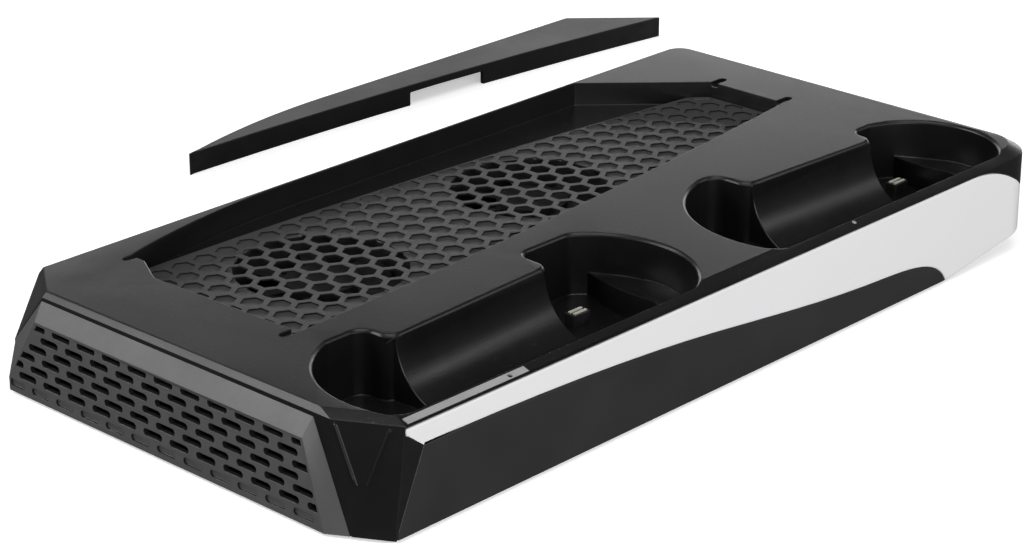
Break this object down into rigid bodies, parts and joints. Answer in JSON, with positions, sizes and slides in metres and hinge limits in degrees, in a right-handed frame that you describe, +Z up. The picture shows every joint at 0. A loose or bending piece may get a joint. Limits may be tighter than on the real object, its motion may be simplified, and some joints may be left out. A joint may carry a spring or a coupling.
{
  "type": "console vertical stand",
  "caption": "Flat stand that a game console stands upright on, with a honeycomb air floor over fans, a slotted end vent, controller charging bays and a loose filler for its recess.",
  "frame": {"origin": "on the floor under the middle of the stand's body, at the middle foot", "axes": "+X along the length away from the slotted end, +Y from the controller bays to the console recess, +Z up"},
  "size_m": [0.4276, 0.2864, 0.038],
  "materials": {
    "shell_black": "satin moulded black plastic",
    "grille_black": "satin moulded black plastic",
    "vent_black": "satin moulded dark grey plastic",
    "band_white": "smooth white plastic",
    "panel_black": "satin black plastic",
    "strip_grey": "translucent grey plastic",
    "dot_clear": "smooth grey plastic",
    "contact_black": "satin black plastic",
    "contact_metal": "plated contact metal",
    "fan_black": "matte black plastic",
    "rotor_black": "matte black plastic",
    "screw_steel": "plated steel",
    "base_black": "textured black plastic",
    "foot_rubber": "matte grey rubber",
    "board_green": "green solder mask",
    "inlet_steel": "plated steel",
    "switch_black": "matte black plastic",
    "button_black": "smooth black plastic",
    "insert_black": "satin moulded black plastic"
  },
  "bodies": {
    "stand": {"top_shell": "shell_black", "honeycomb_grille": "grille_black", "vent_grille": "vent_black", "front_band": "band_white", "lower_front_panel": "panel_black", "indicator_strip": "strip_grey", "indicator_dot": "dot_clear", "contact_block_left": "contact_black", "contact_block_right": "contact_black", "contact_pins": "contact_metal", "fan_frame_left": "fan_black", "fan_frame_right": "fan_black", "fan_screws": "screw_steel", "base_plate": "base_black", "base_screws": "screw_steel", "feet": "foot_rubber", "control_board": "board_green", "power_inlet": "inlet_steel", "fan_switch": "switch_black", "filler_insert": "insert_black"},
    "left_rotor": {"fan_rotor_left": "rotor_black"},
    "right_rotor": {"fan_rotor_right": "rotor_black"},
    "button": {"fan_button": "button_black"}
  },
  "joints": [
    {"name": "left_fan_spin", "type": "hinge", "parent": "stand", "child": "left_rotor", "pos_m": [-0.08, 0.02955, 0.0245], "axis": [0, 0, 1], "continuous": true},
    {"name": "right_fan_spin", "type": "hinge", "parent": "stand", "child": "right_rotor", "pos_m": [0.0212, 0.02955, 0.0245], "axis": [0, 0, 1], "continuous": true},
    {"name": "button_press", "type": "slide", "parent": "stand", "child": "button", "axis": [0, -1, 0], "range_m": [0, 0.0006], "stiffness_N_per_m": 800, "springref_m": -0.0006}
  ]
}
